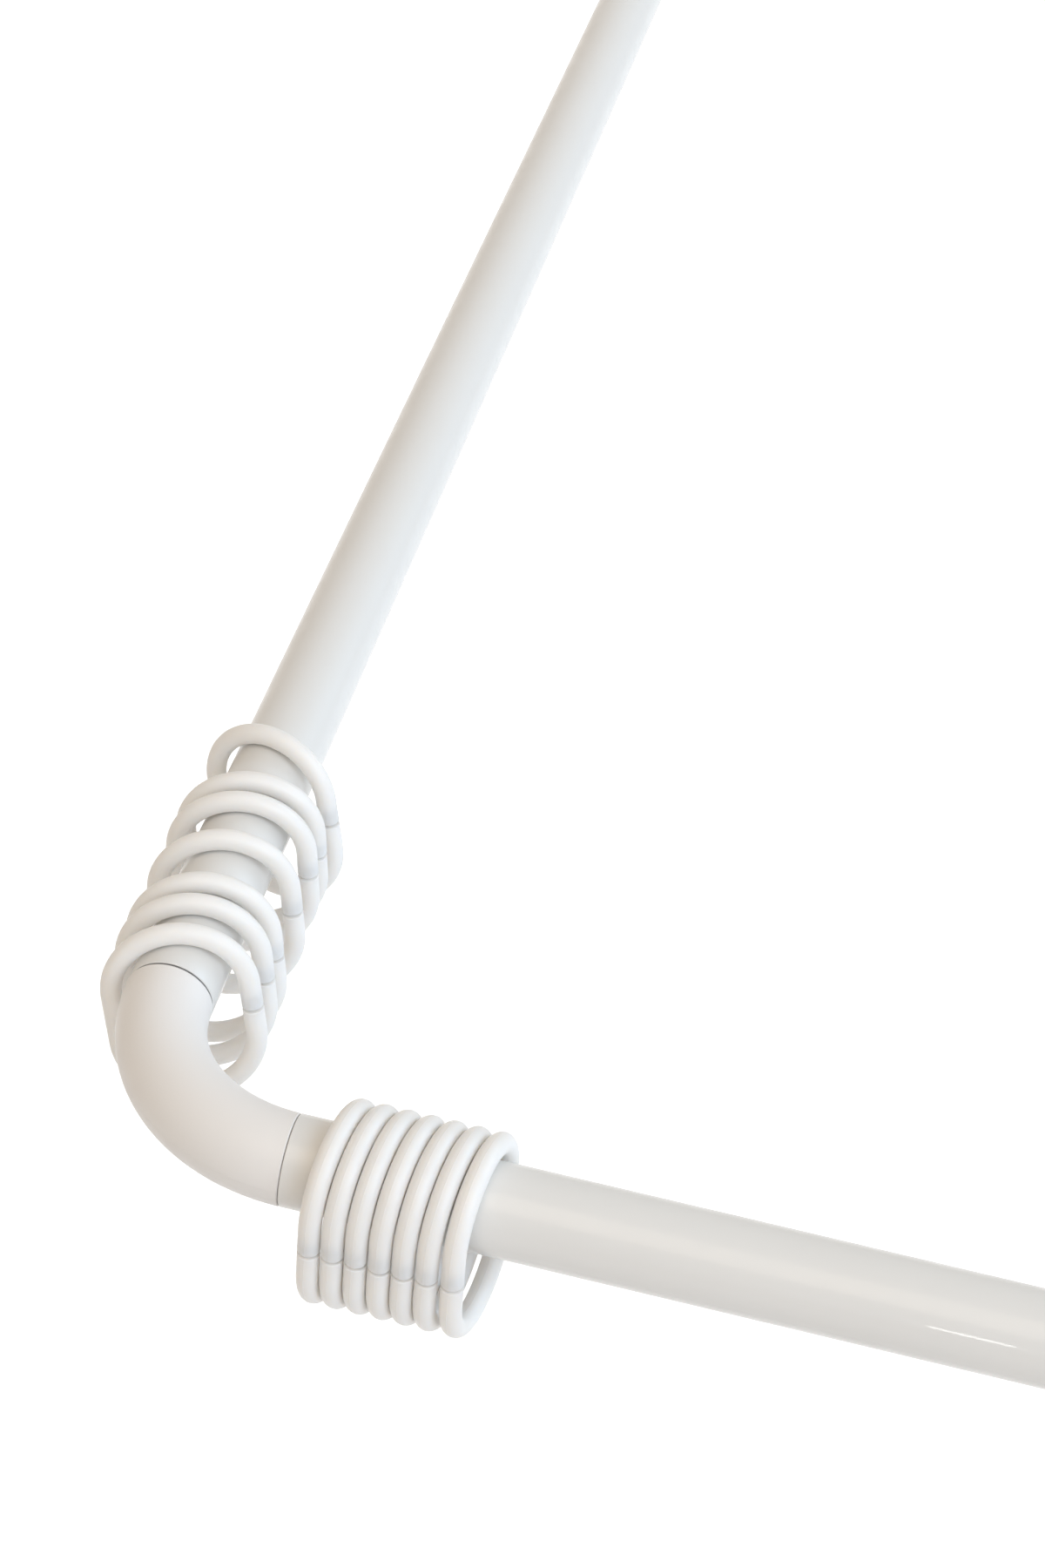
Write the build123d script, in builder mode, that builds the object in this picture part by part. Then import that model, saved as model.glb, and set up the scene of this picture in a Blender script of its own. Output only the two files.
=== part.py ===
"""U-shaped shower curtain rail with two bunches of snap rings.

The rail is a level U. Both of its ends sit in flanges on one wall, which is the plane y = 0,
and the U stands out from that wall towards -Y. The origin is the centre of the left flange's
back face, on the axis of the left side tube. +X runs to the right flange, and +Z is up.
"""

import os
from math import cos, radians

from build123d import *

os.makedirs("parts", exist_ok=True)

# Rail, in millimetres
span = 900.0  # between the axes of the two side tubes
reach = 900.0  # from the wall to the axis of the front tube
tube_od = 25.0
tube_wall = 1.0
tube_end_chamfer = 0.25
bend_radius = 48.0  # centreline of each corner
side_seam_gap = 0.7  # between a side tube's end and the elbow's shoulder
front_seam_gap = 0.22  # between the front tube's end and the elbow's shoulder

# Corner elbows
elbow_wall = 3.0
elbow_end_chamfer = 0.3
spigot_length = 40.0
spigot_clearance = 0.35  # radial, from the spigot's core to the tube's bore
spigot_lead = 1.0  # chamfer on the spigot's free end
rib_count = 6
rib_width = 1.6
rib_clearance = 0.05  # radial, from a rib's crest to the tube's bore
rib_setback = 4.0  # from the shoulder and from the free end

# Wall flanges
flange_od = 64.0
flange_thickness = 6.0
flange_round = 2.5
collar_wall = 3.6
collar_length = 20.0  # in front of the flange's disc
collar_round = 1.2
collar_root_round = 2.5
socket_clearance = 0.2  # radial, from the socket to the tube
socket_floor = 3.0  # left between the tube's end and the wall
wall_hole_count = 3
wall_hole_d = 4.8
wall_hole_head_d = 9.0
wall_hole_pcd = 49.0

# Grub screws, one under each collar
grub_d = 4.0
grub_length = 4.0
grub_clearance = 0.1  # radial in its hole, and from its tip to the tube
grub_key = 2.0  # across the flats of its hexagon socket
grub_key_depth = 1.8
grub_tip_chamfer = 0.6

# Curtain rings: an oval of round wire, split on one flank and closed by a pin in a socket
ring_wire = 6.1
ring_inner_width = 32.3
ring_inner_height = 48.3
ring_rest_gap = 0.4  # from the tube's top to the ring that hangs on it
split_gap = 0.7
split_above_bottom = 8.0  # from the centre of the ring's lower bend
split_upper_round = 0.8
split_lower_round = 0.25
pin_d = 3.0
pin_length = 4.0
pin_tip = 0.8
pin_clearance = 0.3

# How the rings hang. Distances run along the tube from the end of the elbow's bend.
# Turn is about the upright, lean tips the ring's foot along the tube, swing is about the tube.
front_first = 13.3
front_free_spaces = [0.13, 0.13, 0.13, 0.13, 0.13, 0.3]
front_turn = -8.4
front_leans = [-1.5, -1.5, -1.5, -1.5, -1.5, -1.5, -2.5]
side_first = 9.0
side_free_spaces = [6.9, 3.4, 13.4, 11.9, 3.4, 15.4]
side_turns = [15.0, 12.0, 12.0, 12.0, 10.0, 10.0, -15.0]
side_leans = [7.0, 5.0, 4.0, 2.0, 0.0, 0.0, 2.0]
side_swings = [10.0, 8.0, 8.0, 8.0, 6.0, 6.0, 14.0]

# Worked out from the above
tube_r = tube_od / 2
bore_r = tube_r - tube_wall
elbow_bore_r = tube_r - elbow_wall
spigot_r = bore_r - spigot_clearance
rib_r = bore_r - rib_clearance
socket_r = tube_r + socket_clearance
collar_r = socket_r + collar_wall
collar_end = flange_thickness + collar_length
grub_y = -(flange_thickness + collar_end) / 2
corner_y = -reach
mirror_plane = Plane.YZ.offset(span / 2)


def finish(piece, name):
    """Label a finished piece and write it out."""
    piece.part.label = name
    export_step(piece.part, f"parts/{name}.step")


# Side tubes: from the floor of the flange's socket to the elbow's shoulder
side_tube_end = reach - bend_radius - side_seam_gap
with BuildPart() as left_side_tube:
    with BuildSketch(Plane.XZ.offset(socket_floor)):
        Circle(tube_r)
        Circle(bore_r, mode=Mode.SUBTRACT)
    extrude(amount=side_tube_end - socket_floor)
    chamfer(left_side_tube.edges().filter_by(GeomType.CIRCLE), tube_end_chamfer)
finish(left_side_tube, "left_side_tube")

with BuildPart() as right_side_tube:
    mirror(left_side_tube.part, about=mirror_plane)
finish(right_side_tube, "right_side_tube")

# Front tube: between the shoulders of the two elbows
front_tube_start = bend_radius + front_seam_gap
with BuildPart() as front_tube:
    with BuildSketch(Plane((front_tube_start, corner_y, 0), x_dir=(0, 1, 0), z_dir=(1, 0, 0))):
        Circle(tube_r)
        Circle(bore_r, mode=Mode.SUBTRACT)
    extrude(amount=span - 2 * front_tube_start)
    chamfer(front_tube.edges().filter_by(GeomType.CIRCLE), tube_end_chamfer)
finish(front_tube, "front_tube")

# Elbows: a hollow quarter bend, flush with the tubes, with a ribbed spigot at each end
side_shoulder = Plane((0, corner_y + bend_radius, 0), x_dir=(1, 0, 0), z_dir=(0, 1, 0))
front_shoulder = Plane((bend_radius, corner_y, 0), x_dir=(0, 1, 0), z_dir=(1, 0, 0))
bend_axis = Axis((bend_radius, corner_y + bend_radius, 0), (0, 0, 1))
rib_depth = rib_r - elbow_bore_r
with BuildPart() as left_elbow:
    with BuildSketch(side_shoulder):
        Circle(tube_r)
        Circle(elbow_bore_r, mode=Mode.SUBTRACT)
    revolve(axis=bend_axis, revolution_arc=90)
    bend_ends = left_elbow.faces().filter_by(GeomType.PLANE)
    chamfer([end.outer_wire().edge() for end in bend_ends], elbow_end_chamfer)
    for shoulder in (side_shoulder, front_shoulder):
        with BuildSketch(shoulder):
            Circle(spigot_r)
            Circle(elbow_bore_r, mode=Mode.SUBTRACT)
        extrude(amount=spigot_length)
        spigot_end = left_elbow.faces().sort_by(Axis(shoulder.origin, shoulder.z_dir))[-1]
        chamfer(spigot_end.outer_wire().edges(), spigot_lead)
        with BuildSketch(shoulder.offset(rib_setback)):
            with PolarLocations(elbow_bore_r + rib_depth / 2, rib_count):
                Rectangle(rib_depth, rib_width)
            Circle(rib_r, mode=Mode.INTERSECT)
            Circle(elbow_bore_r + tube_wall / 2, mode=Mode.SUBTRACT)
        extrude(amount=spigot_length - 2 * rib_setback)
finish(left_elbow, "left_elbow")

with BuildPart() as right_elbow:
    mirror(left_elbow.part, about=mirror_plane)
finish(right_elbow, "right_elbow")

# Wall flanges: a disc with a collar, turned about the side tube's axis
with BuildPart() as left_flange:
    with BuildSketch(Plane.XY):
        with BuildLine():
            Polyline(
                (0, 0),
                (flange_od / 2, 0),
                (flange_od / 2, -flange_thickness),
                (collar_r, -flange_thickness),
                (collar_r, -collar_end),
                (socket_r, -collar_end),
                (socket_r, -socket_floor),
                (0, -socket_floor),
                close=True,
            )
        make_face()
    revolve(axis=Axis.Y)
    rims = left_flange.edges().filter_by(GeomType.CIRCLE)
    disc_front = rims.filter_by(lambda edge: abs(edge.center().Y + flange_thickness) < 0.01)
    fillet(disc_front.filter_by(lambda edge: edge.radius > collar_r + collar_wall), flange_round)
    fillet(disc_front.filter_by(lambda edge: edge.radius < collar_r + collar_wall), collar_root_round)
    collar_front = rims.filter_by(lambda edge: abs(edge.center().Y + collar_end) < 0.01)
    fillet(collar_front.filter_by(lambda edge: edge.radius > socket_r + collar_wall / 2), collar_round)
    with Locations(Plane.XZ.offset(flange_thickness)):
        with PolarLocations(wall_hole_pcd / 2, wall_hole_count, start_angle=90):
            CounterSinkHole(wall_hole_d / 2, wall_hole_head_d / 2)
    with BuildSketch(Plane((0, grub_y, 0), x_dir=(1, 0, 0), z_dir=(0, 0, -1))):
        Circle(grub_d / 2 + grub_clearance)
    extrude(amount=collar_r + collar_wall, mode=Mode.SUBTRACT)
finish(left_flange, "left_flange")

with BuildPart() as right_flange:
    mirror(left_flange.part, about=mirror_plane)
finish(right_flange, "right_flange")

# Grub screws: the tip bears on the underside of the tube
grub_tip = Plane((0, grub_y, -(tube_r + grub_clearance)), x_dir=(1, 0, 0), z_dir=(0, 0, -1))
with BuildPart() as left_grub_screw:
    with BuildSketch(grub_tip):
        Circle(grub_d / 2)
    extrude(amount=grub_length)
    chamfer(left_grub_screw.edges().group_by(Axis.Z)[-1], grub_tip_chamfer)
    with BuildSketch(grub_tip.offset(grub_length)):
        RegularPolygon(grub_key / 2, 6, major_radius=False)
    extrude(amount=-grub_key_depth, mode=Mode.SUBTRACT)
finish(left_grub_screw, "left_grub_screw")

with BuildPart() as right_grub_screw:
    mirror(left_grub_screw.part, about=mirror_plane)
finish(right_grub_screw, "right_grub_screw")

# Rings, drawn in their own plane: u points to the split flank, w is up, the tube's axis is at 0, 0
ring_r = (ring_inner_width + ring_wire) / 2
ring_top = tube_r + ring_rest_gap
upper_bend = ring_top - ring_inner_width / 2
lower_bend = upper_bend - (ring_inner_height - ring_inner_width)
split_at = lower_bend + split_above_bottom
upper_end = split_at + split_gap / 2
lower_end = split_at - split_gap / 2
pin_socket_depth = pin_length + pin_tip - split_gap + pin_clearance


def hang(plane, turn, lean, swing):
    """Turn, lean and swing a ring's upright plane about the point where the ring hangs."""
    to_top = Pos(0, ring_top, 0)
    tilt = to_top * Rotation(-lean, 0, 0) * to_top.inverse()
    return Plane(plane.location * Rotation(0, turn, 0) * tilt * Rotation(0, 0, swing))


def make_ring(plane, name):
    """One snap ring in the given plane."""
    end_turn = (-90, 0, 0)  # from the ring's plane to a cross-section, looking up the flank
    lower_section = Plane(plane.location * Location((ring_r, lower_end, 0), end_turn))
    upper_section = Plane(plane.location * Location((ring_r, upper_end, 0), end_turn))
    with BuildPart() as ring:
        with BuildLine(plane) as oval:
            Line((ring_r, upper_end), (ring_r, upper_bend))
            ThreePointArc((ring_r, upper_bend), (0, upper_bend + ring_r), (-ring_r, upper_bend))
            Line((-ring_r, upper_bend), (-ring_r, lower_bend))
            ThreePointArc((-ring_r, lower_bend), (0, lower_bend - ring_r), (ring_r, lower_bend))
            Line((ring_r, lower_bend), (ring_r, lower_end))
        with BuildSketch(upper_section):
            Circle(ring_wire / 2)
        sweep(path=oval.wire())
        for section, radius in ((upper_section, split_upper_round), (lower_section, split_lower_round)):
            ends = ring.faces().filter_by(GeomType.PLANE)
            fillet(ends.sort_by_distance(section.origin)[0].edges(), radius)
        with BuildSketch(upper_section):
            Circle(pin_d / 2 + pin_clearance)
        extrude(amount=pin_socket_depth, mode=Mode.SUBTRACT)
        with BuildSketch(lower_section):
            Circle(pin_d / 2)
        extrude(amount=pin_length)
        with BuildSketch(lower_section.offset(pin_length)):
            Circle(pin_d / 2)
        with BuildSketch(lower_section.offset(pin_length + pin_tip)):
            Circle(pin_d / 2 - pin_tip)
        loft()
    finish(ring, name)


# Front bunch: pushed together against each other, numbered from the elbow
ring_x = bend_radius + front_first
for index, lean in enumerate(front_leans):
    upright = Plane((ring_x, corner_y, 0), x_dir=(0, -1, 0), z_dir=(-1, 0, 0))
    make_ring(hang(upright, front_turn, lean, 0), f"front_ring_{index + 1}")
    if index < len(front_free_spaces):
        ring_x += (ring_wire + front_free_spaces[index]) / cos(radians(front_turn))

# Side bunch: hung loosely, numbered from the elbow
ring_y = corner_y + bend_radius + side_first
for index, (turn, lean, swing) in enumerate(zip(side_turns, side_leans, side_swings)):
    upright = Plane((0, ring_y, 0), x_dir=(1, 0, 0), z_dir=(0, -1, 0))
    make_ring(hang(upright, turn, lean, swing), f"side_ring_{index + 1}")
    if index < len(side_free_spaces):
        ring_y += ring_wire + side_free_spaces[index]
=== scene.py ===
# %% [markdown]
# # A u-shaped shower curtain rail with its rings
# The rail is three straight tubes and two moulded elbows that make a U, held
# to the wall by two flanges, with fourteen split plastic rings hung on it.
# Every part is some kind of white, so the whole picture rests on small things:
# how glossy each white is, how warm or cool it is, and how soft the light is.
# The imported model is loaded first. It is the fixed frame that the finishes,
# the camera and the light are set around, and it is never moved.

# %% Load the frame
import bpy
import math
import numpy as np
from mathutils import Euler, Matrix, Vector


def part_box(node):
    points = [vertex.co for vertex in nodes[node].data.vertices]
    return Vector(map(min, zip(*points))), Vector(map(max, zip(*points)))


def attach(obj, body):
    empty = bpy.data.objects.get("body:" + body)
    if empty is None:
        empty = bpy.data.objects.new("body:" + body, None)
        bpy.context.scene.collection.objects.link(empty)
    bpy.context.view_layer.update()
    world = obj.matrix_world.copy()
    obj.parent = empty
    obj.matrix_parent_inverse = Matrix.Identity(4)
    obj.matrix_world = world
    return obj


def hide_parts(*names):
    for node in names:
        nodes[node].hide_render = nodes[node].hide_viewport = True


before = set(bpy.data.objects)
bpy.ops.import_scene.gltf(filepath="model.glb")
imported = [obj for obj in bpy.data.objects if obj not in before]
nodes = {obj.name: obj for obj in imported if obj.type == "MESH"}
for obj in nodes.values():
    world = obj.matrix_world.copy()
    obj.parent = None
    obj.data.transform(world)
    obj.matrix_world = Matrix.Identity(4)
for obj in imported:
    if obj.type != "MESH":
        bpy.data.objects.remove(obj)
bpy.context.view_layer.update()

scene = bpy.context.scene

# %% [markdown]
# ## The camera
# The picture looks down at the left corner of the U from in front of it, a
# little tilted, so only half of the rail is in the frame. A camera could be
# aimed by eye. Here its place and angles were worked out from straight lines
# and known sizes, so the tubes fall where they should without any shift.

# %% Camera
CAMERA_PLACE = (0.16869, -1.44649, 0.59052)
CAMERA_TURN = (50.568, -5.958, 12.498)
CAMERA_LENS = 70.726
SENSOR_WIDTH = 36.0
FAR_LIMIT = 200.0

camera_data = bpy.data.cameras.new("photo_camera")
camera_data.sensor_width = SENSOR_WIDTH
camera_data.sensor_fit = "AUTO"
camera_data.lens = CAMERA_LENS
camera_data.clip_end = FAR_LIMIT
camera = bpy.data.objects.new("photo_camera", camera_data)
scene.collection.objects.link(camera)
camera.location = CAMERA_PLACE
camera.rotation_euler = Euler([math.radians(a) for a in CAMERA_TURN], "XYZ")
scene.camera = camera
scene.view_settings.view_transform = "Standard"
print("camera at", CAMERA_PLACE, "lens", CAMERA_LENS, "mm")

# %% [markdown]
# ## The floor
# A rail like this hangs about two metres up, so whatever is under it is far
# away and its shadow is broad and faint. A white world alone would do as a
# background, but then nothing would send light up to the undersides of the
# tubes. A large pale floor well below the rail does that.

# %% Floor plane
FLOOR_DROP = 1.25
FLOOR_SIZE = 60.0
FLOOR_CUTS = 3
RAIL_MIDDLE = (0.45, -0.45)

bpy.ops.object.select_all(action="DESELECT")
bpy.ops.mesh.primitive_plane_add(size=FLOOR_SIZE, location=(0.0, 0.0, 0.0))
floor = bpy.context.object
floor.name = "floor"
bpy.ops.object.mode_set(mode="EDIT")
bpy.ops.mesh.subdivide(number_cuts=FLOOR_CUTS)
bpy.ops.transform.translate(value=(*RAIL_MIDDLE, -FLOOR_DROP))
bpy.ops.object.mode_set(mode="OBJECT")
print("floor", FLOOR_SIZE, "m wide,", FLOOR_DROP, "m under the rail")

# %% [markdown]
# The floor's paint is matt. Far from the lamps it would turn beige, so it
# also glows white, but only for the camera and for rays that are mirrored or
# pass through something. Those rays show a background and carry no light, so
# the glow doesn't brighten the rail.

# %% Floor paint
FLOOR_COLOUR = (0.75, 0.74, 0.73, 1.0)
FLOOR_GLOW = 0.72


def new_material(name):
    """A material with an empty node tree and its output, ready for nodes."""
    material = bpy.data.materials.new(name)
    material.use_nodes = True
    material.node_tree.nodes.clear()
    output = material.node_tree.nodes.new("ShaderNodeOutputMaterial")
    return material, material.node_tree.nodes, material.node_tree.links, output


def background_rays(tree_nodes, links):
    """1 for rays that should see the plain background, 0 for rays that carry light."""
    path = tree_nodes.new("ShaderNodeLightPath")
    seen = path.outputs["Is Camera Ray"]
    for ray in ("Is Glossy Ray", "Is Transmission Ray"):
        either = tree_nodes.new("ShaderNodeMath")
        either.operation = "MAXIMUM"
        links.new(seen, either.inputs[0])
        links.new(path.outputs[ray], either.inputs[1])
        seen = either.outputs[0]
    return seen


floor_paint, tree_nodes, links, output = new_material("floor_paint")
matt = tree_nodes.new("ShaderNodeBsdfDiffuse")
matt.inputs["Color"].default_value = FLOOR_COLOUR
glow = tree_nodes.new("ShaderNodeEmission")
glow_strength = tree_nodes.new("ShaderNodeMath")
glow_strength.operation = "MULTIPLY"
glow_strength.inputs[1].default_value = FLOOR_GLOW
links.new(background_rays(tree_nodes, links), glow_strength.inputs[0])
links.new(glow_strength.outputs[0], glow.inputs["Strength"])
both = tree_nodes.new("ShaderNodeAddShader")
links.new(matt.outputs[0], both.inputs[0])
links.new(glow.outputs[0], both.inputs[1])
links.new(both.outputs[0], output.inputs["Surface"])
floor.data.materials.append(floor_paint)
print("floor paint", FLOOR_COLOUR[:3], "with a glow of", FLOOR_GLOW)

# %% [markdown]
# ## The light
# The object is lit as in a bright white room: two large cool windows to the
# right, one in front and one behind, a weaker warm lamp high in front, and a
# warm fill from everywhere, which is the world itself. One lamp could show
# the shapes, but the left side of each tube is beige and the right side is
# bluish, and that takes light of two colours.

# %% World fill
FILL_COLOUR = (0.495, 0.444, 0.388, 1.0)
BACKGROUND_WHITE = (1.0, 1.0, 1.0, 1.0)

world = bpy.data.worlds.new("white_room")
world.use_nodes = True
scene.world = world
tree_nodes, links = world.node_tree.nodes, world.node_tree.links
tree_nodes.clear()
fill = tree_nodes.new("ShaderNodeBackground")
fill.inputs["Color"].default_value = FILL_COLOUR
white = tree_nodes.new("ShaderNodeBackground")
white.inputs["Color"].default_value = BACKGROUND_WHITE
pick = tree_nodes.new("ShaderNodeMixShader")
links.new(background_rays(tree_nodes, links), pick.inputs["Fac"])
links.new(fill.outputs[0], pick.inputs[1])
links.new(white.outputs[0], pick.inputs[2])
world_output = tree_nodes.new("ShaderNodeOutputWorld")
links.new(pick.outputs[0], world_output.inputs["Surface"])
print("world fill", FILL_COLOUR[:3])

# %% [markdown]
# The lamps stand far away and are large, so the light is even along the tubes
# and its edges are soft. A very small lamp in front is the exception: it
# draws the short bright streak on the glossy front tube.

# %% Lamps
CORNER = Vector((0.1, -0.6, 0.0))
LAMP_DISTANCE = 7.0
WINDOW_SIZE = 5.0
# Name, azimuth and elevation in degrees, watts and colour of each window.
WINDOWS = (
    ("window_front_right", -35, 35, 232.0, (0.604, 0.778, 1.0)),
    ("window_back_right", 30, 25, 140.0, (0.548, 0.781, 1.0)),
    ("warm_front_high", -90, 60, 110.0, (1.0, 0.88, 0.72)),
)
STREAK_PLACE = (0.375, -2.79, 0.39)
STREAK_AIM = (0.233, -0.9, 0.0)
STREAK_SIZE = (0.075, 0.16)
STREAK_POWER = 0.7
STREAK_COLOUR = (1.0, 1.0, 1.0)


def around_corner(azimuth, elevation):
    """A place at the lamps' distance from the corner; azimuth 0 is +X and 90 is +Y."""
    turn, rise = math.radians(azimuth), math.radians(elevation)
    level = math.cos(rise)
    toward = Vector((level * math.cos(turn), level * math.sin(turn), math.sin(rise)))
    return CORNER + toward * LAMP_DISTANCE


def add_lamp(name, place, aim, width, height, power, colour):
    """A soft rectangular lamp at a place, turned to face a point."""
    lamp_data = bpy.data.lights.new(name, "AREA")
    lamp_data.shape = "RECTANGLE"
    lamp_data.size = width
    lamp_data.size_y = height
    lamp_data.energy = power
    lamp_data.color = colour
    lamp = bpy.data.objects.new(name, lamp_data)
    scene.collection.objects.link(lamp)
    lamp.location = place
    lamp.rotation_euler = (Vector(aim) - Vector(place)).to_track_quat("-Z", "Y").to_euler()


for name, azimuth, elevation, power, colour in WINDOWS:
    place = around_corner(azimuth, elevation)
    add_lamp(name, place, CORNER, WINDOW_SIZE, WINDOW_SIZE, power, colour)
add_lamp("streak_lamp", STREAK_PLACE, STREAK_AIM, *STREAK_SIZE, STREAK_POWER, STREAK_COLOUR)

# %% [markdown]
# ## Shared surface effects
# No real white is one flat colour. Paint flows into a faint orange peel,
# moulded plastic copies the fine texture of its mould, and handling leaves
# patches that are slightly duller. One node group makes all three, from
# noise at three sizes, and each material places it with its own numbers.

# %% Group: skin
VECTOR = "NodeSocketVector"
COLOUR = "NodeSocketColor"
NUMBER = "NodeSocketFloat"
HAND_PATCHES = 22.0
SMUDGES = 150.0
SMUDGE_START = 0.35
SMUDGE_FULL = 0.70
NOISE_ROUGHNESS = 0.55


def new_group(name, inputs, outputs):
    """A shader node group with named inputs and outputs."""
    group = bpy.data.node_groups.new(name, "ShaderNodeTree")
    for in_out, sockets in (("INPUT", inputs), ("OUTPUT", outputs)):
        for socket_name, socket_type in sockets.items():
            group.interface.new_socket(socket_name, in_out=in_out, socket_type=socket_type)
    return group, group.nodes.new("NodeGroupInput"), group.nodes.new("NodeGroupOutput")


def add_noise(group, entry, detail, scale=None):
    """A noise texture on the group's Vector, with a fixed scale or its Grain Scale."""
    noise = group.nodes.new("ShaderNodeTexNoise")
    noise.inputs["Detail"].default_value = detail
    noise.inputs["Roughness"].default_value = NOISE_ROUGHNESS
    group.links.new(entry.outputs["Vector"], noise.inputs["Vector"])
    if scale is None:
        group.links.new(entry.outputs["Grain Scale"], noise.inputs["Scale"])
    else:
        noise.inputs["Scale"].default_value = scale
    return noise.outputs["Fac"]


skin, entry, leave = new_group(
    "white_skin",
    {
        "Vector": VECTOR,
        "Clean": COLOUR,
        "Toned": COLOUR,
        "Grain Scale": NUMBER,
        "Smooth": NUMBER,
        "Dull": NUMBER,
    },
    {"Color": COLOUR, "Roughness": NUMBER, "Height": NUMBER},
)
grain = add_noise(skin, entry, detail=3.0)
patches = add_noise(skin, entry, detail=3.0, scale=HAND_PATCHES)
smudges = add_noise(skin, entry, detail=4.0, scale=SMUDGES)
tone = skin.nodes.new("ShaderNodeMix")
tone.data_type = "RGBA"
skin.links.new(patches, tone.inputs["Factor"])
skin.links.new(entry.outputs["Clean"], tone.inputs["A"])
skin.links.new(entry.outputs["Toned"], tone.inputs["B"])
skin.links.new(tone.outputs["Result"], leave.inputs["Color"])
dulling = skin.nodes.new("ShaderNodeMapRange")
dulling.inputs["From Min"].default_value = SMUDGE_START
dulling.inputs["From Max"].default_value = SMUDGE_FULL
skin.links.new(smudges, dulling.inputs["Value"])
skin.links.new(entry.outputs["Smooth"], dulling.inputs["To Min"])
skin.links.new(entry.outputs["Dull"], dulling.inputs["To Max"])
skin.links.new(dulling.outputs["Result"], leave.inputs["Roughness"])
skin.links.new(grain, leave.inputs["Height"])
print("group", skin.name, "with", len(skin.nodes), "nodes")

# %% [markdown]
# Moulded parts carry a hair-fine ridge where the two halves of the mould
# met. It could be modelled, but it is a few hundredths of a millimetre high,
# so it is a narrow band of bump on one plane. The group takes a vector whose
# Z is the distance from that plane.

# %% Group: parting line
parting, entry, leave = new_group(
    "parting_line",
    {"Vector": VECTOR, "Half Width": NUMBER},
    {"Height": NUMBER},
)
split = parting.nodes.new("ShaderNodeSeparateXYZ")
parting.links.new(entry.outputs["Vector"], split.inputs[0])
away = parting.nodes.new("ShaderNodeMath")
away.operation = "ABSOLUTE"
parting.links.new(split.outputs["Z"], away.inputs[0])
ridge = parting.nodes.new("ShaderNodeMapRange")
ridge.interpolation_type = "SMOOTHSTEP"
ridge.inputs["To Min"].default_value = 1.0
ridge.inputs["To Max"].default_value = 0.0
parting.links.new(away.outputs[0], ridge.inputs["Value"])
parting.links.new(entry.outputs["Half Width"], ridge.inputs["From Max"])
parting.links.new(ridge.outputs["Result"], leave.inputs["Height"])
print("group", parting.name, "with", len(parting.nodes), "nodes")

# %% [markdown]
# The tube is painted in long lengths and then sawn, so its bore and its saw
# cuts are bare metal. They are what makes the seam against an elbow a dark
# line. The end faces could get a second material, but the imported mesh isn't
# changed, so the metal is told from the paint by its distance from the tube's
# axis. The group takes a vector whose Z runs along that axis.

# %% Group: bare metal
bare, entry, leave = new_group(
    "bare_metal",
    {"Vector": VECTOR, "Paint Radius": NUMBER},
    {"Mask": NUMBER},
)
flatten = bare.nodes.new("ShaderNodeVectorMath")
flatten.operation = "MULTIPLY"
flatten.inputs[1].default_value = (1.0, 1.0, 0.0)
bare.links.new(entry.outputs["Vector"], flatten.inputs[0])
from_axis = bare.nodes.new("ShaderNodeVectorMath")
from_axis.operation = "LENGTH"
bare.links.new(flatten.outputs["Vector"], from_axis.inputs[0])
inside = bare.nodes.new("ShaderNodeMath")
inside.operation = "LESS_THAN"
bare.links.new(from_axis.outputs["Value"], inside.inputs[0])
bare.links.new(entry.outputs["Paint Radius"], inside.inputs[1])
bare.links.new(inside.outputs[0], leave.inputs["Mask"])
print("group", bare.name, "with", len(bare.nodes), "nodes")

# %% [markdown]
# ## One recipe for the whites
# Paint, elbows, flanges and rings are four whites that differ a little in
# tone, gloss and grain. Each could be built by itself, but with one recipe
# their differences are only numbers, which are easy to compare. The recipe
# repeats a few moves, so these come first as small helpers: placing a group,
# turning its pattern to a plane, adding relief and painting a node.

# %% Helpers for a finish
def place_group(tree_nodes, links, group, vector, values):
    """Puts a node group in a material with its own values, and returns its outputs."""
    placed = tree_nodes.new("ShaderNodeGroup")
    placed.node_tree = group
    links.new(vector, placed.inputs["Vector"])
    for socket_name, value in values.items():
        placed.inputs[socket_name].default_value = value
    return placed.outputs


def turned_to(plane, tree_nodes, links, vector):
    """The same vector, measured in a plane's own frame."""
    turn = tree_nodes.new("ShaderNodeMapping")
    turn.vector_type = "TEXTURE"
    turn.inputs["Location"].default_value = plane.to_translation()
    turn.inputs["Rotation"].default_value = plane.to_euler()
    links.new(vector, turn.inputs["Vector"])
    return turn.outputs["Vector"]


def add_relief(tree_nodes, links, height, depth, below=None):
    """A relief of a depth in metres, on top of another relief if there is one."""
    bump = tree_nodes.new("ShaderNodeBump")
    bump.inputs["Strength"].default_value = 1.0
    bump.inputs["Distance"].default_value = depth
    links.new(height, bump.inputs["Height"])
    if below is not None:
        links.new(below, bump.inputs["Normal"])
    return bump.outputs["Normal"]


def paint_node(node_name, material):
    """Puts a material in every slot of a CAD node."""
    for slot in nodes[node_name].material_slots:
        slot.material = material


print("helpers ready for", sum(len(node.material_slots) for node in nodes.values()), "material slots")

# %% [markdown]
# Each white is a Principled shader fed by the skin group: its colour, its
# roughness and, through a Bump node, its fine relief. The relief of a real
# surface like this is a few thousandths of a millimetre, far too fine to
# model. A moulded part adds the parting line on top of the grain.

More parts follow.
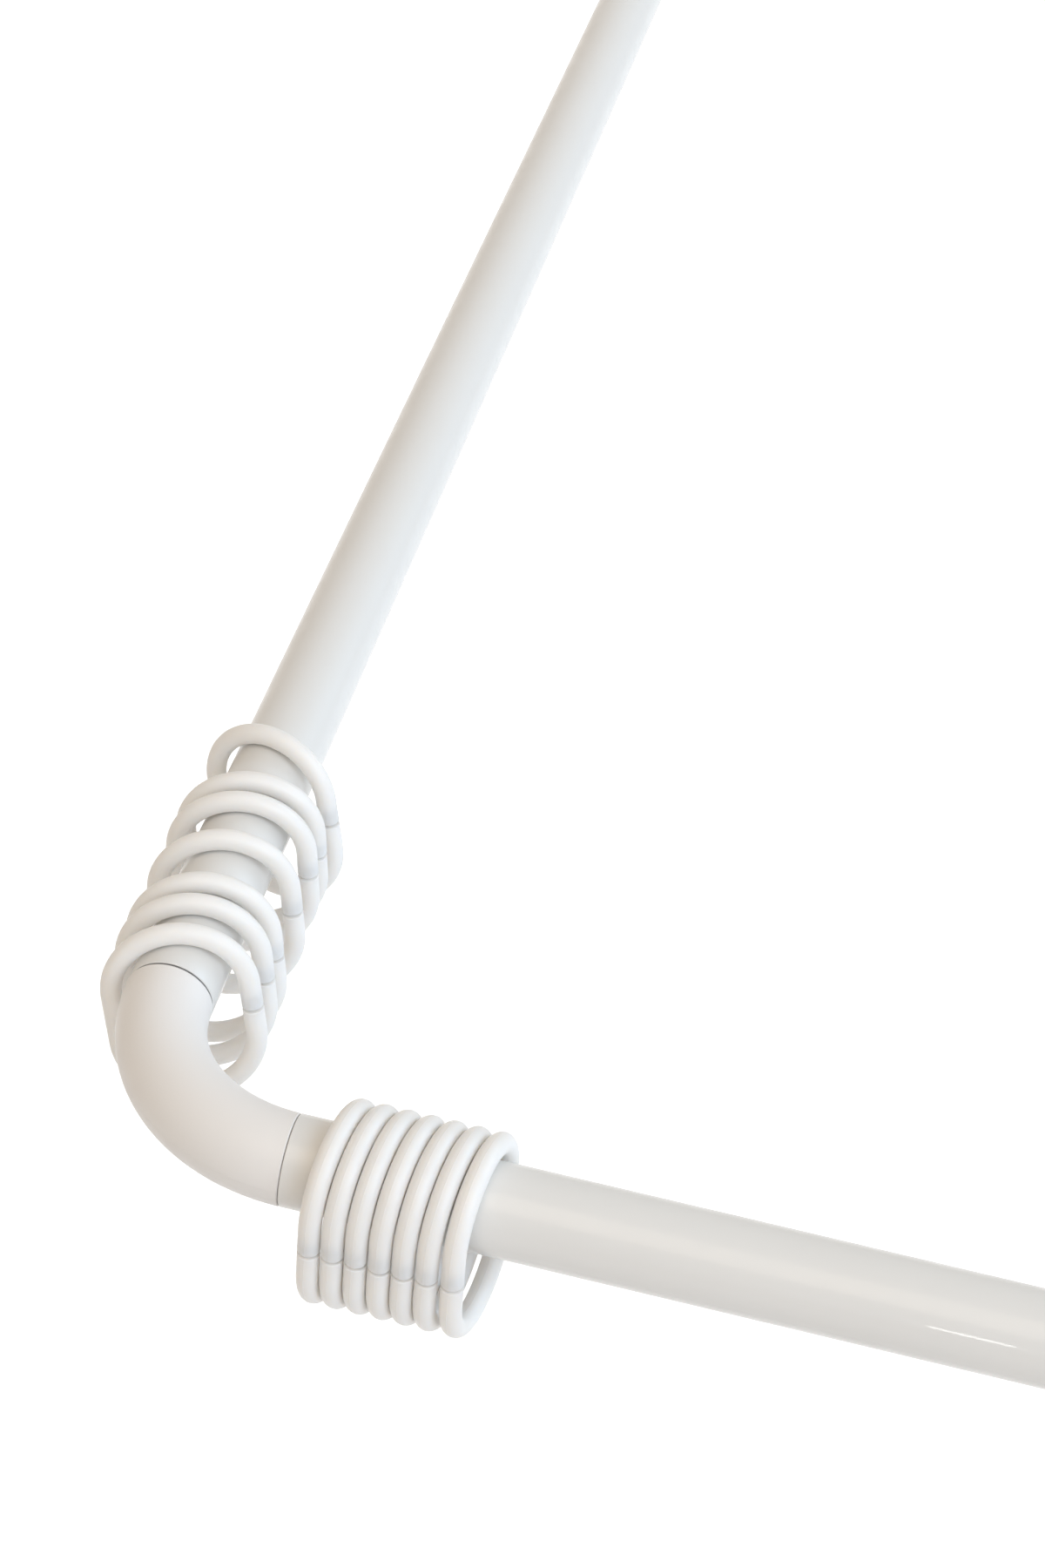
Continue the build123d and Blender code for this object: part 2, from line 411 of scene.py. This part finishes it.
# %% White finish
def white_finish(name, clean, toned, grain_size, grain_depth, smooth, dull, seam=None, plane=None):
    """A white material, with its shader and the vector of its pattern.

    seam is (half width, height) of a parting line on the plane's Z, in metres.
    """
    material, tree_nodes, links, output = new_material(name)
    shader = tree_nodes.new("ShaderNodeBsdfPrincipled")
    links.new(shader.outputs[0], output.inputs["Surface"])
    vector = tree_nodes.new("ShaderNodeTexCoord").outputs["Object"]
    if plane is not None:
        vector = turned_to(plane, tree_nodes, links, vector)
    values = {
        "Clean": (*clean, 1.0),
        "Toned": (*toned, 1.0),
        "Grain Scale": 1.0 / grain_size,
        "Smooth": smooth,
        "Dull": dull,
    }
    surface = place_group(tree_nodes, links, skin, vector, values)
    links.new(surface["Color"], shader.inputs["Base Color"])
    links.new(surface["Roughness"], shader.inputs["Roughness"])
    normal = add_relief(tree_nodes, links, surface["Height"], grain_depth)
    if seam:
        half_width, ridge_height = seam
        line = place_group(tree_nodes, links, parting, vector, {"Half Width": half_width})
        normal = add_relief(tree_nodes, links, line["Height"], ridge_height, below=normal)
    links.new(normal, shader.inputs["Normal"])
    return material, shader, vector


print("white finish ready, from", skin.name, "and", parting.name)

# %% [markdown]
# ## The tubes: powder-coated aluminium
# The three tubes are lengths of one round stock. Each has its own axis, and
# the bare metal is told from the paint by the distance from it. The axis
# could be typed in, but it is read from each tube's mesh, so it still fits if
# the rail is rebuilt in another size.

# %% A tube's axis
def node_points(node_name):
    """The points of a CAD node's mesh, one row each."""
    mesh = nodes[node_name].data
    points = np.empty(len(mesh.vertices) * 3)
    mesh.vertices.foreach_get("co", points)
    return points.reshape(-1, 3)


def tube_axis(node_name):
    """A tube's own frame, with Z along its length, and its radius."""
    points = node_points(node_name)
    low, high = points.min(axis=0), points.max(axis=0)
    size = high - low
    turn = Matrix.Rotation(math.pi / 2, 4, "Y" if size[0] > size[1] else "X")
    return Matrix.Translation((low + high) / 2) @ turn, float(size[2]) / 2


TUBES = {tube: tube_axis(tube) for tube in ("left_side_tube", "front_tube", "right_side_tube")}
print("tube radii in mm:", [round(radius * 1000, 2) for axis, radius in TUBES.values()])

# %% [markdown]
# Powder coat is melted on in an oven, so it is glossy but never quite flat:
# its skin ripples over a millimetre or so. One low roughness would make the
# whole tube look wet. Instead the clear-looking top of the paint is a coat
# layer over a duller base, which gives the sharp streak on a soft body. Where
# the mask says bare metal, the coat ends and the metal's own values take over.

# %% Tube coat
PAINT_WRAP = 0.0003
BARE_COLOUR = (0.60, 0.60, 0.60, 1.0)
BARE_ROUGHNESS = 0.42
TUBE_GLOSS = 0.35
GLOSS_ROUGHNESS = 0.03


def blend_in(material, socket, mask, value):
    """Puts a value into a shader's socket wherever the mask is 1."""
    blend = material.node_tree.nodes.new("ShaderNodeMix")
    blend.data_type = "RGBA" if socket.type == "RGBA" else "FLOAT"
    links = material.node_tree.links
    if socket.is_linked:
        links.new(socket.links[0].from_socket, blend.inputs["A"])
    else:
        blend.inputs["A"].default_value = socket.default_value
    blend.inputs["B"].default_value = value
    links.new(mask, blend.inputs["Factor"])
    links.new(blend.outputs["Result"], socket)


for tube, (axis, radius) in TUBES.items():
    tube_coat, shader, vector = white_finish(
        f"tube_coat_{tube}",
        clean=(0.80, 0.79, 0.765),
        toned=(0.78, 0.765, 0.735),
        grain_size=0.0016,
        grain_depth=0.000004,
        smooth=0.30,
        dull=0.42,
        plane=axis,
    )
    shader.inputs["Coat Weight"].default_value = TUBE_GLOSS
    shader.inputs["Coat Roughness"].default_value = GLOSS_ROUGHNESS
    tree = tube_coat.node_tree
    paint_edge = {"Paint Radius": radius - PAINT_WRAP}
    mask = place_group(tree.nodes, tree.links, bare, vector, paint_edge)["Mask"]
    blend_in(tube_coat, shader.inputs["Base Color"], mask, BARE_COLOUR)
    blend_in(tube_coat, shader.inputs["Metallic"], mask, 1.0)
    blend_in(tube_coat, shader.inputs["Roughness"], mask, BARE_ROUGHNESS)
    blend_in(tube_coat, shader.inputs["Coat Weight"], mask, 0.0)
    paint_node(tube, tube_coat)
    print(tube, "coated with", tube_coat.name)

# %% [markdown]
# ## The elbows and flanges: moulded plastic
# These are injection mouldings in a slightly warmer white than the paint,
# with a satin surface copied from the mould. They could share the tubes'
# finish, but then the corner would lose its own tone. Their parting line lies
# on the level plane through the tube's axis, which is Z = 0 here.

# %% Elbow and flange plastic
LEVEL_SEAM = (0.00018, 0.00005)

elbow_plastic = white_finish(
    "elbow_plastic",
    clean=(0.88, 0.855, 0.83),
    toned=(0.86, 0.83, 0.80),
    grain_size=0.0006,
    grain_depth=0.000020,
    smooth=0.36,
    dull=0.48,
    seam=LEVEL_SEAM,
)[0]
flange_plastic = white_finish(
    "flange_plastic",
    clean=(0.81, 0.795, 0.77),
    toned=(0.79, 0.77, 0.74),
    grain_size=0.0006,
    grain_depth=0.000022,
    smooth=0.30,
    dull=0.42,
    seam=LEVEL_SEAM,
)[0]
for side in ("left", "right"):
    paint_node(f"{side}_elbow", elbow_plastic)
    paint_node(f"{side}_flange", flange_plastic)
print("moulded:", elbow_plastic.name, flange_plastic.name)

# %% [markdown]
# ## The rings: moulded plastic with a parting line of their own
# Each ring hangs at its own tilt, so its mould plane is tilted too, and one
# material for all would draw the line askew. The plane is found from the
# ring's own mesh: the direction in which its points spread least is the axis
# of the loop.

# %% A ring's plane
def loop_plane(node_name):
    """The plane of a ring as a matrix: its centre, and Z along the loop's axis."""
    points = node_points(node_name)
    centre = (points.max(axis=0) + points.min(axis=0)) / 2.0
    spread = np.linalg.svd(points - points.mean(axis=0), full_matrices=False)[2]
    along, across = Vector(spread[0]), Vector(spread[1])
    axis = along.cross(across)
    depth = (points - centre) @ np.array(axis)
    centre = Vector(centre) + axis * float((depth.max() + depth.min()) / 2.0)
    turn = Matrix((along, across, axis)).transposed().to_4x4()
    return Matrix.Translation(centre) @ turn


ring_planes = {name: loop_plane(name) for name in sorted(nodes) if "_ring_" in name}
print("ring planes found:", len(ring_planes))

# %% [markdown]
# A Mapping node turns each ring's pattern into its own plane, so the fine
# ridge runs round the middle of the wire. A little light passes through the
# thin plastic. Transmission would make it look like glass, so the light is
# scattered under the surface, which keeps the shadows between the rings soft.

# %% Ring plastic
RING_SEAM = (0.00018, 0.00004)
LIGHT_THROUGH = 0.7
LIGHT_TINT = (1.0, 0.9, 0.8)
LIGHT_DEPTH = 0.005

for ring, plane in ring_planes.items():
    ring_plastic, shader = white_finish(
        f"ring_plastic_{ring}",
        clean=(0.912, 0.890, 0.861),
        toned=(0.892, 0.865, 0.831),
        grain_size=0.0007,
        grain_depth=0.000020,
        smooth=0.34,
        dull=0.46,
        seam=RING_SEAM,
        plane=plane,
    )[:2]
    shader.inputs["Subsurface Weight"].default_value = LIGHT_THROUGH
    shader.inputs["Subsurface Radius"].default_value = LIGHT_TINT
    shader.inputs["Subsurface Scale"].default_value = LIGHT_DEPTH
    paint_node(ring, ring_plastic)
print("rings finished:", len(ring_planes))

# %% [markdown]
# ## The steel of the grub screws
# A set screw under each flange's collar pinches the tube. A plain metal would
# look like a mirror. Turned steel shows fine rings from the lathe, so its
# roughness changes in bands along the screw's own axis.

# %% Screw steel
STEEL_COLOUR = (0.62, 0.62, 0.60, 1.0)
LATHE_BANDS = 1400.0
LATHE_WOBBLE = 0.6
STEEL_SMOOTH = 0.28
STEEL_DULL = 0.42

screw_steel, tree_nodes, links, output = new_material("screw_steel")
shader = tree_nodes.new("ShaderNodeBsdfPrincipled")
shader.inputs["Base Color"].default_value = STEEL_COLOUR
shader.inputs["Metallic"].default_value = 1.0
links.new(shader.outputs[0], output.inputs["Surface"])
place = tree_nodes.new("ShaderNodeTexCoord")
bands = tree_nodes.new("ShaderNodeTexWave")
bands.bands_direction = "Z"
bands.inputs["Scale"].default_value = LATHE_BANDS
bands.inputs["Distortion"].default_value = LATHE_WOBBLE
links.new(place.outputs["Object"], bands.inputs["Vector"])
worn = tree_nodes.new("ShaderNodeMapRange")
worn.inputs["To Min"].default_value = STEEL_SMOOTH
worn.inputs["To Max"].default_value = STEEL_DULL
links.new(bands.outputs["Fac"], worn.inputs["Value"])
links.new(worn.outputs["Result"], shader.inputs["Roughness"])
print("steel:", screw_steel.name)

# %% [markdown]
# ## The grub screws: a thread from end to end
# A grub screw has no head. It is threaded over its whole length, with a
# chamfer at each end that starts the thread and a hexagon socket for a key.
# The imported screw is a plain cylinder, which is enough to hold the tube. The
# thread could be a bump, but a bump has no outline, so it is made as geometry:
# the outline of one turn is drawn point by point, and a Screw modifier winds
# it into a helix. It is modelled in millimetres and shrunk at the end, since
# some tools merge points that lie closer than a tenth of a millimetre.

# %% Wind the thread
PITCH = 0.7
CREST_RADIUS = 2.0
ROOT_RADIUS = 1.6
CREST_WIDTH = 0.09
ROOT_WIDTH = 0.17
TURNS = 9
STEPS = 40

flank = (PITCH - CREST_WIDTH - ROOT_WIDTH) / 2
bpy.ops.object.select_all(action="DESELECT")
bpy.ops.mesh.primitive_plane_add(size=1.0, location=(0.0, 0.0, 0.0))
screw = bpy.context.object
screw.name = "left_threaded_screw"
bpy.ops.object.mode_set(mode="EDIT")
bpy.ops.mesh.select_all(action="SELECT")
bpy.ops.mesh.merge(type="CENTER")
bpy.ops.transform.translate(value=(CREST_RADIUS, 0.0, 0.0))
for out, up in (
    (0.0, CREST_WIDTH),
    (ROOT_RADIUS - CREST_RADIUS, flank),
    (0.0, ROOT_WIDTH),
    (CREST_RADIUS - ROOT_RADIUS, flank),
):
    bpy.ops.mesh.extrude_region_move(TRANSFORM_OT_translate={"value": (out, 0.0, up)})
bpy.ops.object.mode_set(mode="OBJECT")

wind = screw.modifiers.new("wind", "SCREW")
wind.axis = "Z"
wind.angle = math.tau
wind.screw_offset = PITCH
wind.iterations = TURNS
wind.steps = STEPS
wind.render_steps = STEPS
bpy.ops.object.modifier_apply(modifier="wind")
print("thread wound:", TURNS, "turns,", len(screw.data.vertices), "points")

# %% [markdown]
# The helix is an open sheet. Its turns are sewn together, and a flat cut with
# a filled face near each end closes it into a rod. The rod could be cut to
# length at once, but it is left a little longer, so that the next step can
# trim it without two faces lying on each other.

# %% Close it into a rod
SAME_POINT = 0.001
ROD_START = 0.95
ROD_END = 5.95

bpy.ops.object.mode_set(mode="EDIT")
bpy.ops.mesh.select_all(action="SELECT")
bpy.ops.mesh.remove_doubles(threshold=SAME_POINT)
for height, keep in ((ROD_START, 1.0), (ROD_END, -1.0)):
    bpy.ops.mesh.select_all(action="SELECT")
    bpy.ops.mesh.bisect(
        plane_co=(0.0, 0.0, height),
        plane_no=(0.0, 0.0, keep),
        use_fill=True,
        clear_inner=True,
    )
bpy.ops.mesh.select_all(action="SELECT")
bpy.ops.mesh.normals_make_consistent(inside=False)
bpy.ops.transform.translate(value=(0.0, 0.0, -(ROD_START + ROD_END) / 2))
bpy.ops.object.mode_set(mode="OBJECT")
print("rod closed:", len(screw.data.polygons), "faces")

# %% [markdown]
# On the lathe the rod is cut to length and its ends are turned to a cone,
# deeper at the tip that bears on the tube. Bevelling the thread's own edges
# would follow the helix, so the cut is made as on the lathe, by keeping only
# what lies inside a wide blank with bevelled ends.

# %% Turn the ends
SCREW_LENGTH = 4.0
ROUND_SIDES = 64
BLANK_RADIUS = 2.6
TIP_CUT = 1.2
HEAD_CUT = 0.95


def cut_with(tool, operation):
    """Applies one boolean cut to the screw and throws the tool away."""
    bpy.ops.object.select_all(action="DESELECT")
    screw.select_set(True)
    bpy.context.view_layer.objects.active = screw
    cut = screw.modifiers.new("cut", "BOOLEAN")
    cut.operation = operation
    cut.solver = "EXACT"
    cut.object = tool
    bpy.ops.object.modifier_apply(modifier="cut")
    bpy.data.objects.remove(tool)


bpy.ops.object.select_all(action="DESELECT")
bpy.ops.mesh.primitive_cylinder_add(
    vertices=ROUND_SIDES,
    radius=BLANK_RADIUS,
    depth=SCREW_LENGTH,
)
blank = bpy.context.object
rim = SCREW_LENGTH / 2 - SAME_POINT
for end, depth in ((-1.0, TIP_CUT), (1.0, HEAD_CUT)):
    bpy.ops.object.mode_set(mode="EDIT")
    bpy.ops.mesh.select_all(action="DESELECT")
    bpy.ops.mesh.select_mode(type="EDGE")
    bpy.ops.object.mode_set(mode="OBJECT")
    points = blank.data.vertices
    for edge in blank.data.edges:
        edge.select = all(points[i].co.z * end > rim for i in edge.vertices)
    bpy.ops.object.mode_set(mode="EDIT")
    bpy.ops.mesh.bevel(offset=depth, segments=1, affect="EDGES")
    bpy.ops.object.mode_set(mode="OBJECT")
cut_with(blank, "INTERSECT")
print("ends turned:", len(screw.data.polygons), "faces")

# %% [markdown]
# The socket is punched into the turned end: a six-sided punch makes its
# walls, and a short cone opens its mouth, so that the key finds its way in.
# The cuts leave a few doubled points, which are merged at the end.

# %% Punch the socket
KEY_ACROSS = 2.0
KEY_DEPTH = 1.8
MOUTH_RADIUS = 1.2
MOUTH_DEPTH = 0.4

screw_end = (0.0, 0.0, SCREW_LENGTH / 2)
bpy.ops.object.select_all(action="DESELECT")
bpy.ops.mesh.primitive_cylinder_add(
    vertices=6,
    radius=KEY_ACROSS / math.sqrt(3.0),
    depth=2 * KEY_DEPTH,
    location=screw_end,
)
cut_with(bpy.context.object, "DIFFERENCE")

bpy.ops.object.select_all(action="DESELECT")
bpy.ops.mesh.primitive_cone_add(
    vertices=ROUND_SIDES,
    radius1=MOUTH_RADIUS - MOUTH_DEPTH,
    radius2=MOUTH_RADIUS + MOUTH_DEPTH,
    depth=2 * MOUTH_DEPTH,
    location=screw_end,
)
cut_with(bpy.context.object, "DIFFERENCE")

bpy.ops.object.mode_set(mode="EDIT")
bpy.ops.mesh.select_all(action="SELECT")
bpy.ops.mesh.remove_doubles(threshold=SAME_POINT)
bpy.ops.mesh.dissolve_degenerate(threshold=SAME_POINT)
bpy.ops.object.mode_set(mode="OBJECT")
screw_size = [round(v, 3) for v in screw.dimensions]
print("socket punched:", len(screw.data.polygons), "faces, size in mm", screw_size)

# %% [markdown]
# The finished screw is shrunk to metres, turned so that its socket faces
# down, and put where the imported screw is. Its place goes into its mesh. The
# other side gets a copy that is moved and not mirrored, because a mirrored
# screw would have a left-hand thread.

# %% Place both screws
MM = 0.001
SMOOTH_ANGLE = math.radians(30.0)


def node_centre(node_name):
    """The middle of a CAD node's box."""
    low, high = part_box(node_name)
    return (Vector(low) + Vector(high)) / 2


bpy.ops.object.shade_smooth_by_angle(angle=SMOOTH_ANGLE)
screw.scale = (MM, MM, MM)
screw.rotation_euler = (math.pi, 0.0, 0.0)
screw.location = node_centre("left_grub_screw")
bpy.ops.object.transform_apply(location=True, rotation=True, scale=True)
screw.data.materials.clear()
screw.data.materials.append(screw_steel)

bpy.ops.object.duplicate(linked=False)
right_screw = bpy.context.object
right_screw.name = "right_threaded_screw"
to_right = node_centre("right_grub_screw") - node_centre("left_grub_screw")
bpy.ops.object.mode_set(mode="EDIT")
bpy.ops.mesh.select_all(action="SELECT")
bpy.ops.transform.translate(value=to_right)
bpy.ops.object.mode_set(mode="OBJECT")

for piece, replaced in ((screw, "left_grub_screw"), (right_screw, "right_grub_screw")):
    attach(piece, "rail")
    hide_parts(replaced)
    corners = [Vector(corner) for corner in piece.bound_box]
    middle = sum(corners, Vector()) / len(corners)
    print(piece.name, "at", [round(v, 4) for v in middle], "m")
